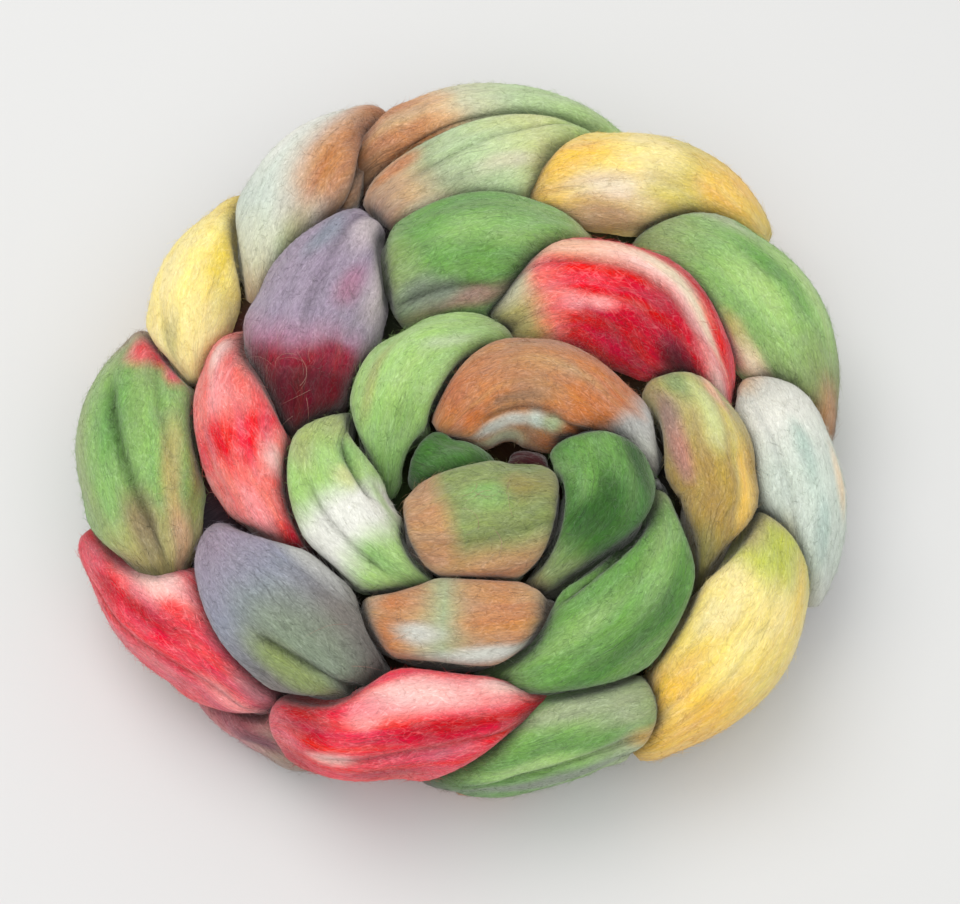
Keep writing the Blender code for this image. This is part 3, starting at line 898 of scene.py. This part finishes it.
def skin_faces(rings, sides):
    """Triangles and quads of a closed skin over rings of points, with the ring and the column of each corner.

    The first point is before the rings and the last after them. The last column is the first one again, so
    that a coordinate round the fold doesn't jump.
    """
    side = np.arange(sides)
    one = np.ones(sides, int)
    ring, column = (grid.ravel() for grid in np.meshgrid(np.arange(1, rings), side, indexing="ij"))
    # each face's corners as (ring, column): the start's triangles, the end's, and the quads between them
    faces = (
        ((0 * one, side + 0.5), (one, side + 1), (one, side)),
        ((rings * one, side), (rings * one, side + 1), ((rings + 1) * one, side + 0.5)),
        ((ring, column), (ring, column + 1), (ring + 1, column + 1), (ring + 1, column)),
    )
    numbers, corners_at = [], []
    for face in faces:
        at = np.stack([np.stack(corner, 1) for corner in face], 1)
        ring_at, column_at = at[..., 0].astype(int), at[..., 1].astype(int)
        number = 1 + (ring_at - 1) * sides + column_at % sides
        number = np.where(ring_at == 0, 0, np.where(ring_at > rings, 1 + rings * sides, number))
        numbers.append(number)
        corners_at.append(at.reshape(-1, 2))
    start, end, quads = numbers
    return np.concatenate((start, end)), quads, np.concatenate(corners_at)


def map_cell(number, total):
    """The low corner and the side of one square of the map, when it is shared out in a grid."""
    across = math.ceil(math.sqrt(total))
    side = 1 / across
    return np.array((number % across, number // across)) * side, side


def in_margin(places):
    return MAP_MARGIN + (1 - 2 * MAP_MARGIN) * places


def make_folds(name, folds, material):
    """One piece of the skins of one or more folds."""
    points, triangles, quads, colours, fibre, places = [], [], [], [], [], []
    begun = 0
    # the closed ends of a fold get the darkest painted shade
    darkest_painted_shade = 1 - sum(depth for depth, _ in PAINTED_CREVICE_SHADES)
    for number, fold in enumerate(folds):
        rings, sides, _ = fold.skin.shape
        points.append(np.concatenate((fold.line[:1], fold.skin.reshape(-1, 3), fold.line[-1:])))
        some_triangles, some_quads, corners = skin_faces(rings, sides)
        triangles.append(some_triangles + begun)
        quads.append(some_quads + begun)
        begun += len(points[-1])
        along = np.concatenate(([0], np.repeat(fold.t[1:-1], sides), [1]))
        around = np.concatenate(([0], np.tile(fold.around, rings), [0]))
        # painted shade: the dye is darkened in the crevices and the creases
        shade = np.concatenate(([darkest_painted_shade], fold.shade().ravel(), [darkest_painted_shade]))
        colours.append(fold.dye(along, around) * shade[:, None])
        ring = corners[:, 0].astype(int)
        share = corners[:, 1] / sides
        along = fold.along_mm[ring]
        fibre.append(np.stack((share * fold.girth, along, np.full(len(ring), FOLD_STEP * fold.seed)), 1))
        low, side = map_cell(number, len(folds))
        places.append(low + side * in_margin(np.stack((share, along / fold.length), 1)))
    # the corners of all the folds' triangles come before those of their quads
    cuts = [3 * len(some) for some in triangles]
    fibre, places = (
        [part[:cut] for part, cut in zip(parts, cuts)] + [part[cut:] for part, cut in zip(parts, cuts)]
        for parts in (fibre, places)
    )
    piece = new_piece(name, *(np.concatenate(parts) for parts in (points, triangles, quads)), material)
    paint(piece, *(np.concatenate(parts) for parts in (colours, fibre, places)))


def make_heart(folds, material):
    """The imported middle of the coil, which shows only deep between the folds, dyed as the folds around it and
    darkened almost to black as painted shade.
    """
    steps = np.linspace(0, len(HEART_PROFILE) - 1, HEART_RINGS)
    radii, heights = (
        np.interp(steps, np.arange(len(HEART_PROFILE)), column) for column in np.array(HEART_PROFILE, float).T
    )
    turn = np.linspace(0, 2 * math.pi, HEART_SIDES, endpoint=False)
    x, y = HEART_CENTRE
    ring = (x + radii[:, None] * np.cos(turn), y + radii[:, None] * np.sin(turn), heights[:, None])
    body = np.stack(np.broadcast_arrays(*ring), 2)
    points = np.concatenate(([(x, y, heights[0])], body.reshape(-1, 3), [(x, y, heights[-1])]))
    triangles, quads, corners = skin_faces(HEART_RINGS, HEART_SIDES)
    piece = new_piece("heart", points, triangles, quads, material)
    share = corners[:, 1] / HEART_SIDES
    down = corners[:, 0] / (HEART_RINGS + 1)
    fibre = np.stack((share * 2 * math.pi * radii.mean(), down * HEART_HEIGHT, np.zeros(len(share))), 1)
    weights, colours = [], []
    for fold in folds:
        away = np.linalg.norm(points[:, None] - fold.line[None], axis=2)
        weights.append(np.exp(-away.min(axis=1) / HEART_BLEND))
        colours.append(fold.dye(fold.t[away.argmin(axis=1)], np.full(len(points), CREST)))
    weights = np.array(weights)[..., None]
    # painted shade: the heart keeps only a small share of the dyes around it
    colours = HEART_PAINTED_SHADE * (weights * np.array(colours)).sum(0) / weights.sum(0)
    paint(piece, colours, fibre, in_margin(np.stack((share, down), 1)))


# ---------------------------------------------------------------- fuzz


class Hairs:
    """Hairs gathered for one piece: the middle line, the width and the colour of each."""

    def __init__(self):
        self.gathered = []

    def make(self, name, material):
        """One piece of closed tapered tubes."""
        lines, widths, colours = (np.concatenate(parts) for parts in zip(*self.gathered))
        number, stations, _ = lines.shape
        ahead = np.gradient(lines, axis=1)
        ahead /= np.maximum(np.linalg.norm(ahead, axis=2), TINY)[..., None]
        aside = np.cross(ahead, ASKEW)
        aside /= np.maximum(np.linalg.norm(aside, axis=2), TINY)[..., None]
        upward = np.cross(aside, ahead)
        radius = widths[:, None] / 2 * np.linspace(1, HAIR_TIP, stations - 1)
        turn = np.linspace(0, 2 * math.pi, HAIR_SIDES, endpoint=False)[:, None]
        ring = np.cos(turn) * aside[:, :-1, None] + np.sin(turn) * upward[:, :-1, None]
        ring = ring * radius[:, :, None, None] + lines[:, :-1, None]
        points = np.concatenate((ring.reshape(number, -1, 3), lines[:, -1:]), 1)
        each = points.shape[1]
        column = np.arange(HAIR_SIDES)
        beside = (column + 1) % HAIR_SIDES
        top = (stations - 2) * HAIR_SIDES
        quad = np.stack((column, beside, HAIR_SIDES + beside, HAIR_SIDES + column), 1)
        quads = np.concatenate([first + quad for first in range(0, top, HAIR_SIDES)])
        tip = np.stack((top + column, top + beside, np.full(HAIR_SIDES, each - 1)), 1)
        begun = each * np.arange(number)[:, None, None]
        triangles = (np.concatenate(([column[::-1]], tip)) + begun).reshape(-1, 3)
        quads = (quads + begun).reshape(-1, 4)
        piece = new_piece(name, points.reshape(-1, 3), triangles, quads, material)
        hair, own = np.divmod(np.concatenate((triangles.ravel(), quads.ravel())), each)
        station, side = np.minimum(own // HAIR_SIDES, stations - 1), own % HAIR_SIDES
        across = math.ceil(math.sqrt(number))
        cell = np.stack((hair % across, hair // across), 1)
        inner = np.stack((side / HAIR_SIDES, station / (stations - 1)), 1)
        inner = HAIR_MARGIN + (1 - 2 * HAIR_MARGIN) * inner
        fibre = np.stack((side, HAIR_STEPS[0] * station, HAIR_STEPS[1] * hair), 1)
        paint(piece, np.repeat(colours, each, axis=0), fibre, (cell + inner) / across)


def grow(rng, fold, kind, share, hairs, others):
    """Hairs of one kind over a fold, apart from those that its neighbours would bury."""
    each_square, shortest, longest, veer, lift = kind
    number = int(fold.girth * fold.length / 100 * each_square * share)
    along = rng.uniform(*HAIRY, number)
    around = rng.uniform(0, 1, number)
    length = rng.uniform(shortest, longest, number)
    way = np.radians(rng.normal(0, veer, number)) + np.where(rng.uniform(size=number) < 0.5, 0, math.pi)
    bend = rng.normal(0, HAIR_BEND, number)
    rise = lift * rng.beta(*HAIR_RISE, number)
    lay_hairs(rng, fold, (along, around, length, way, bend, rise), hairs, others)


def lay_hairs(rng, fold, facts, hairs, others, stations=HAIR_STATIONS, dye=None):
    """Lays hairs of these lengths and headings over the skin, from their roots to their risen tips."""
    along, around, length, heading, bend, rise = facts
    number = len(along)
    place, turned = along, around
    lines = []
    local = np.interp(along, fold.t, np.maximum(fold.size, HAIR_SIZE))
    step = length / (stations - 1)
    for share in np.linspace(0, 1, stations):
        point, normal = fold.at(np.clip(place, *SKIN_ENDS), turned)
        height = (rise + HAIR_SUNK) * share**HAIR_CURL - HAIR_ROOT
        lines.append(point + normal * height[:, None])
        place = place + step * np.cos(heading) / fold.length
        turned = turned + step * np.sin(heading) / (fold.girth * local)
        heading = heading + bend * HAIR_TURNS / stations
    lines = np.stack(lines, 1)
    shows = (lines[..., 2] > FLOOR_GAP).all(1)
    for other in others:
        if other is not fold:
            close = np.flatnonzero(shows & other.around_it(lines[:, 1], HAIR_REACH))
            shows[close] &= other.apart(lines[close, 1]) > 0
    colour = fold.dye(along, around) if dye is None else np.tile(linear(DYES[dye]), (number, 1))
    white = HAIR_PALE[0] + HAIR_PALE[1] * rng.uniform(0, 1, number) ** 2
    colour = mixed(colour, linear(DYES["white"]), white) * rng.uniform(*HAIR_TONE, number)[:, None]
    # painted shade: each hair takes the shade painted on the skin at its root, darker in crevices and creases
    shade = fold.shade()
    ring = (np.clip(along, 0, 1) * (len(shade) - 1)).astype(int)
    colour *= shade[ring, (around % 1 * shade.shape[1]).astype(int)][:, None]
    width = rng.uniform(*HAIR_WIDTH, number)
    hairs.gathered.append((lines[shows], width[shows], np.clip(colour[shows], 0, 1)))


def make_fuzz(name, folds, others, material, share):
    rng = np.random.default_rng(len(name) + FUZZ_SEEDS * folds[0].seed)
    hairs = Hairs()
    for fold in folds:
        for kind in (LYING, STANDING):
            grow(rng, fold, kind, share, hairs, others)
    hairs.make(name, material)


def make_strays(folds, others, material):
    rng = np.random.default_rng(STRAY_SEED)
    hairs = Hairs()
    for name, number, (along, turn) in STRAYS:
        fold = next(fold for fold in folds if fold.name == name)
        facts = (
            np.clip(rng.normal(along, STRAY_SPREAD[0], number), *STRAY_ENDS),
            rng.normal(turn, STRAY_SPREAD[1], number) / 360,
            rng.uniform(*STRAY_LENGTH, number),
            rng.uniform(0, 2 * math.pi, number),
            rng.normal(0, STRAY_BEND, number),
            rng.uniform(*STRAY_RISE, number),
        )
        lay_hairs(rng, fold, facts, hairs, others, STRAY_STATIONS, STRAY_DYE)
    hairs.make("stray_hairs", material)


# ---------------------------------------------------------------- materials


class Material:
    """A new material of nodes. An input keeps a number or colour that it is given, and links to an output."""

    def __init__(self, name):
        self.made = bpy.data.materials.new(name)
        self.made.use_nodes = True
        self.tree = self.made.node_tree
        self.tree.nodes.clear()
        self.shader = self.add("BsdfPrincipled")
        self.add("OutputMaterial", Surface=self.shader.outputs["BSDF"])

    def add(self, kind, **inputs):
        node = self.tree.nodes.new(f"ShaderNode{kind}")
        self.feed(node, {name.replace("_", " "): value for name, value in inputs.items()})
        return node

    def feed(self, node, inputs):
        for name, value in inputs.items():
            if isinstance(value, bpy.types.NodeSocket):
                self.tree.links.new(value, node.inputs[name])
            else:
                node.inputs[name].default_value = value

    def attribute(self, name, output):
        node = self.add("Attribute")
        node.attribute_name = name
        return node.outputs[output]

    def maths(self, operation, first, second):
        node = self.add("Math")
        node.operation = operation
        self.feed(node, {0: first, 1: second})
        return node.outputs[0]

    def ranged(self, value, low, high, out_low, out_high):
        node = self.add("MapRange", Value=value, From_Min=low, From_Max=high, To_Min=out_low, To_Max=out_high)
        return node.outputs["Result"]

    def streaks(self, source, across, along, detail=2.0, distortion=0.0, slant=0.0):
        """Noise drawn out by millimetres across and along the fibres, or at a slant in degrees to them."""
        mapping = self.add("Mapping")
        mapping.vector_type = "TEXTURE"
        turned = (0, 0, math.radians(slant))
        self.feed(mapping, {"Vector": source, "Scale": (across, along, 1.0), "Rotation": turned})
        vector = mapping.outputs["Vector"]
        noise = self.add("TexNoise", Vector=vector, Scale=1.0, Detail=detail, Distortion=distortion)
        return noise.outputs["Fac"]

    def thin_lines(self, source, across, along, width, slant):
        """Thin lines, 1 on them and 0 beside them, where drawn-out noise crosses its middle value."""
        noise = self.streaks(source, across, along, *LINE_NOISE, slant)
        away = self.maths("ABSOLUTE", self.maths("SUBTRACT", noise, 0.5), 0)
        return self.ranged(away, 0.0, width, 1.0, 0.0)

    def wavy(self, source):
        """The fibre coordinates with the fibres made to wander from side to side and to crimp."""
        for across, along, sway in WAVES:
            mapping = self.add("Mapping", Vector=source, Scale=(1 / across, 1 / along, 1.0))
            noise = self.add("TexNoise", Vector=mapping.outputs["Vector"], Scale=1.0, Detail=1.0)
            moved = self.add("VectorMath")
            moved.operation = "MULTIPLY_ADD"
            self.feed(moved, {0: noise.outputs["Color"], 1: (sway, sway, 0), 2: source})
            source = moved.outputs["Vector"]
        return source


def wool_material(name, sheen):
    """Combed dyed fibre: streaks of lighter and darker strands that run along each fold."""
    wool = Material(name)
    dye = wool.attribute("dye", "Color")
    run = wool.wavy(wool.attribute("fibre", "Vector"))
    light, height, noises = 1.0, 0.0, {}
    for grain, (*size, low, high, part) in GRAINS.items():
        noises[grain] = wool.streaks(run, *size)
        light = wool.maths("MULTIPLY", light, wool.ranged(noises[grain], *NOISE_RANGE, low, high))
        if part:
            height = wool.maths("ADD", height, wool.maths("MULTIPLY", noises[grain], part))
    pale = wool.maths("MAXIMUM", *(wool.thin_lines(run, *line) for line in PALE_FIBRES))
    across, along, none, full = PARTED
    here = wool.ranged(wool.streaks(run, across, along, 1.0), none, full, 0.0, 1.0)
    parted = wool.maths("MULTIPLY", wool.thin_lines(run, *PARTINGS), here)
    dark = wool.thin_lines(run, *DARK_FIBRES)
    # the partings darken the dye as painted shade, and the pale fibres lighten it, partly as painted highlight
    for line, strength in ((pale, PALE_FIBRE_AND_HIGHLIGHT), (dark, DARK_LIGHT), (parted, PARTING_PAINTED_SHADE)):
        light = wool.maths("MULTIPLY", light, wool.ranged(line, 0.0, 1.0, 1.0, 1.0 + strength))
    for line, part in ((pale, PALE_BUMP), (parted, PARTED_BUMP)):
        height = wool.maths("ADD", height, wool.maths("MULTIPLY", line, part))
    # pale fibre shows less of all this than dark fibre does
    grey = wool.ranged(wool.add("RGBToBW", Color=dye).outputs["Val"], *PALE_DYES)
    light = wool.maths("ADD", light, wool.maths("MULTIPLY", wool.maths("SUBTRACT", 1.0, light), grey))
    strength = wool.ranged(noises["mottle"], *STRENGTH_OF_DYE)
    strength = wool.maths("MULTIPLY", strength, wool.ranged(pale, 0.0, 1.0, 1.0, PALE_STRENGTH))
    hue = wool.ranged(noises["locks"], *NOISE_RANGE, *HUES)
    tone = wool.add("HueSaturation", Color=dye, Value=light, Saturation=strength, Hue=hue)
    bump = wool.add("Bump", Strength=BUMP_STRENGTH, Distance=BUMP_HEIGHT * MM, Height=height)
    wool.feed(wool.shader, {
        "Base Color": tone.outputs["Color"],
        "Roughness": wool.ranged(noises["fleck"], *NOISE_RANGE, *ROUGHNESS),
        "Normal": bump.outputs["Normal"],
        "Specular IOR Level": WOOL_GLOSS,
        "Sheen Weight": sheen,
        "Sheen Roughness": SHEEN_ROUGHNESS,
        "Sheen Tint": SHEEN_TINT,
    })
    return wool.made


def hair_material():
    """Single fibres, each of its own shade."""
    hair = Material("wool_fuzz")
    scales = hair.streaks(hair.attribute("fibre", "Vector"), *SCALES)
    light = hair.ranged(scales, *NOISE_RANGE, *SCALE_LIGHT)
    tone = hair.add("HueSaturation", Color=hair.attribute("dye", "Color"), Value=light)
    rough = hair.ranged(scales, *NOISE_RANGE, *HAIR_ROUGHNESS)
    colour = tone.outputs["Color"]
    hair.feed(hair.shader, {"Base Color": colour, "Roughness": rough, "Specular IOR Level": HAIR_GLOSS})
    return hair.made


def floor_material():
    floor = Material("pale_floor")
    noise = floor.add("TexNoise", Vector=floor.add("TexCoord").outputs["Object"], Scale=FLOOR_SCALE)
    tone = floor.add("Mix")
    tone.data_type = "RGBA"
    darker = [FLOOR_MOTTLE * part for part in FLOOR_COLOUR]
    floor.feed(tone, {"A": (*FLOOR_COLOUR, 1), "B": (*darker, 1), "Factor": noise.outputs["Fac"]})
    colour = tone.outputs["Result"]
    floor.feed(floor.shader, {
        "Base Color": colour,
        "Roughness": FLOOR_ROUGHNESS,
        "Specular IOR Level": FLOOR_GLOSS,
    })
    return floor.made


# ---------------------------------------------------------------- camera, floor and light


def stand(name, data):
    """A new object in the scene."""
    thing = bpy.data.objects.new(name, data)
    bpy.context.scene.collection.objects.link(thing)
    return thing


def add_camera():
    data = bpy.data.cameras.new("camera")
    data.sensor_width = SENSOR
    data.lens = FOCAL_LENGTH
    data.clip_start = CLIP_START
    camera = stand("camera", data)
    angle = math.radians(CAMERA_ELEVATION)
    back = Vector((0, -math.cos(angle), math.sin(angle)))
    camera.location = MM * (Vector(CAMERA_TARGET) + CAMERA_DISTANCE * back)
    camera.rotation_euler = back.to_track_quat("Z", "Y").to_euler()
    bpy.context.scene.camera = camera


def add_floor():
    half = FLOOR_SIDE / 2
    mesh = bpy.data.meshes.new("floor")
    corners = [(-half, -half, 0), (half, -half, 0), (half, half, 0), (-half, half, 0)]
    mesh.from_pydata(corners, [], [(0, 1, 2, 3)])
    mesh.materials.append(floor_material())
    floor = stand("floor", mesh)


def add_light():
    world = bpy.data.worlds.new("pale_room")
    world.use_nodes = True
    background = world.node_tree.nodes["Background"]
    background.inputs["Color"].default_value = (1.0, 1.0, 1.0, 1)
    background.inputs["Strength"].default_value = ROOM_LIGHT
    bpy.context.scene.world = world
    for name, place, width, watts, colour in LAMPS:
        lamp = bpy.data.lights.new(name, "AREA")
        lamp.shape = "DISK"
        lamp.size, lamp.energy, lamp.color = width, watts, colour
        light = stand(name, lamp)
        light.location = place
        light.rotation_euler = Vector(place).to_track_quat("Z", "Y").to_euler()
    bpy.context.scene.view_settings.view_transform = "Standard"


def all_folds():
    """The folds of the outer, second and inner turns, the tail and the folds beneath, pressed together."""
    seeds = itertools.count(1)
    turns = zip((OUTER_FOLDS, SECOND_FOLDS, INNER_FOLDS, (TAIL,)), PAINTED_SHADE_SHARES)
    groups = [[Fold(row, next(seeds), FINE, painted_shade_share) for row in rows] for rows, painted_shade_share in turns]
    beneath = under_rows()
    for row, (first, last) in zip(beneath, itertools.cycle(UNDER_DYES)):
        BANDS[row[0]] = ((0, first), (UNDER_CHANGE[0], first), (UNDER_CHANGE[1], last), (1, last))
    groups.append([Fold(row, next(seeds), UNDER_FINE) for row in beneath])
    everything = [fold for group in groups for fold in group]
    for fold in everything:
        fold.settle(everything)
    for fold in everything:
        fold.press()
    return groups


def main():
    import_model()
    add_camera()
    add_floor()
    add_light()

    outer, second, inner, (tail,), beneath = all_folds()
    wool = wool_material("dyed_wool_fibre", WOOL_SHEEN)
    # the heart's wool has no sheen, so that its painted shade stays dark
    heart_wool = wool_material("heart_wool_fibre", 0.0)
    fuzz = hair_material()
    shown = outer + second + inner + [tail]
    for fold in shown:
        make_folds(f"fold_{fold.name}", [fold], wool)
    rim = UNDER_RINGS[0][1]
    make_folds("folds_under_rim", beneath[:rim], wool)
    make_folds("folds_under_middle", beneath[rim:], wool)
    make_heart(shown, heart_wool)

    everything = shown + beneath
    share = 1.0
    make_fuzz("fuzz_outer_left", outer[:6] + [tail], everything, fuzz, share)
    make_fuzz("fuzz_outer_right", outer[6:], everything, fuzz, share)
    make_fuzz("fuzz_second", second, everything, fuzz, share)
    make_fuzz("fuzz_inner", inner, everything, fuzz, share)
    make_fuzz("fuzz_under", beneath, everything, fuzz, UNDER_HAIRS * share)
    make_strays(shown, everything, fuzz)


main()
